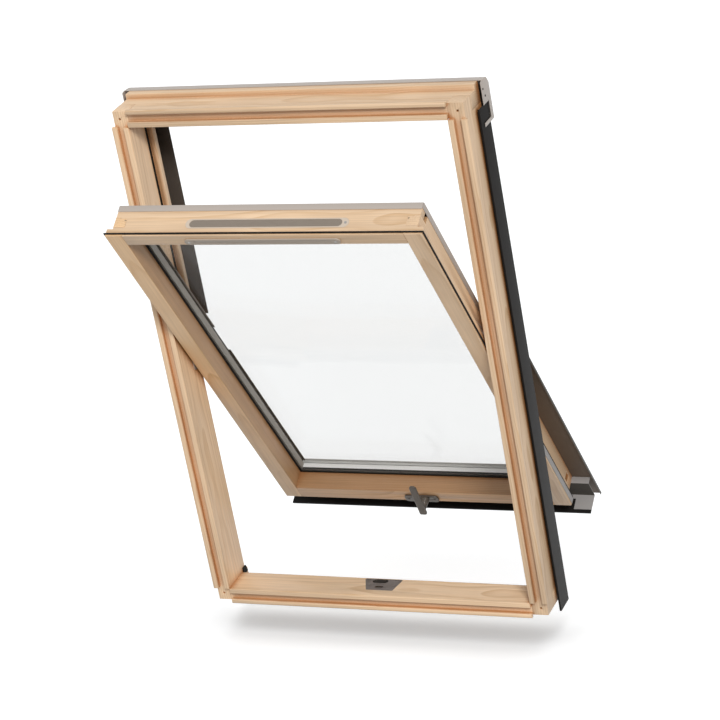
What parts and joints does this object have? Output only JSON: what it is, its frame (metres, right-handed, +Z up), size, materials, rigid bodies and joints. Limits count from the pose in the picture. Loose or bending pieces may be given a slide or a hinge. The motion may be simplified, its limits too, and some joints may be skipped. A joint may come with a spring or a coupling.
{
  "type": "roof skylight",
  "caption": "Centre-pivot timber roof window in its frame: glazed sash tilted open, metal claddings, seals, vent flap, lock handle and strike.",
  "frame": {"origin": "centre of the four corner holes, on the recessed corner faces that carry them", "axes": "+X to the right seen from the room, +Y from the room towards the sky, +Z up along the jambs"},
  "size_m": [0.8024, 0.6368, 1.2047],
  "materials": {
    "pine": "clear satin lacquer on pine",
    "dark_sheet": "matt dark grey coated aluminium",
    "pale_sheet": "pale grey coated inner side of the sheet",
    "rubber": "matt black",
    "glass": "clear",
    "spacer_metal": "mill",
    "black_plastic": "matt",
    "vent_plastic": "satin",
    "handle_metal": "satin",
    "steel": "zinc plated"
  },
  "bodies": {
    "frame": {"frame_head": "pine", "frame_head_cladding": "pale_sheet", "frame_head_seal": "rubber", "frame_head_stop": "pine", "frame_jamb_left": "pine", "frame_jamb_right": "pine", "frame_jamb_seals": "rubber", "frame_pivot_left": "steel", "frame_pivot_right": "steel", "frame_pivot_screws": "steel", "frame_side_cladding_left": "dark_sheet", "frame_side_cladding_right": "dark_sheet", "frame_sill": "pine", "frame_sill_cladding": "dark_sheet", "frame_sill_seal": "rubber", "frame_stop_bead_left": "pine", "frame_stop_bead_right": "pine", "frame_upper_cover_left": "dark_sheet", "frame_upper_cover_right": "dark_sheet", "strike_plate": "steel", "strike_screws": "steel"},
    "sash": {"glass_edge_seal": "rubber", "glass_inner_gasket": "rubber", "glass_inner_pane": "glass", "glass_outer_gasket": "rubber", "glass_outer_pane": "glass", "glass_setting_blocks": "black_plastic", "glass_spacer": "spacer_metal", "handle_base": "handle_metal", "handle_screws": "steel", "sash_apron_seal": "rubber", "sash_bottom_apron": "pale_sheet", "sash_bottom_cladding": "dark_sheet", "sash_bottom_rail": "pine", "sash_corner_dowels": "pine", "sash_cover_battens": "pine", "sash_edge_strips": "pale_sheet", "sash_friction_washers": "black_plastic", "sash_lower_cover_left": "dark_sheet", "sash_lower_cover_right": "dark_sheet", "sash_lower_seals": "rubber", "sash_pivot_left": "steel", "sash_pivot_right": "steel", "sash_pivot_screws": "steel", "sash_stile_left": "pine", "sash_stile_right": "pine", "sash_top_cladding": "pale_sheet", "sash_top_rail": "pine", "sash_upper_cladding_left": "pale_sheet", "sash_upper_cladding_right": "pale_sheet", "sash_upper_seal": "rubber", "vent_cover": "vent_plastic", "vent_filter_mesh": "vent_plastic", "vent_filter_rim": "vent_plastic", "vent_screws": "steel"},
    "handle": {"handle_lever": "handle_metal", "handle_spindle": "steel"},
    "bolt": {"latch_bolt": "steel"},
    "flap": {"vent_flap": "vent_plastic"}
  },
  "joints": [
    {"name": "sash_pivot", "type": "hinge", "parent": "frame", "child": "sash", "pos_m": [0, 0.1, 0], "axis": [1, 0, 0], "range_deg": [-30.8, 119.2]},
    {"name": "handle_turn", "type": "hinge", "parent": "sash", "child": "handle", "pos_m": [0.0055, 0.31813, -0.487], "axis": [0, 0.859, 0.512], "range_deg": [0, 90]},
    {"name": "bolt_slide", "type": "slide", "parent": "sash", "child": "bolt", "axis": [0, 0.512, -0.859], "range_m": [0, 0.012]},
    {"name": "flap_hinge", "type": "hinge", "parent": "sash", "child": "flap", "pos_m": [-0.0015, -0.20206, 0.38271], "axis": [-1, 0, 0], "range_deg": [0, 35]}
  ],
  "couplings": [
    {"joint": "bolt_slide", "follows": "handle_turn", "m_per_rad": 0.0076394}
  ]
}
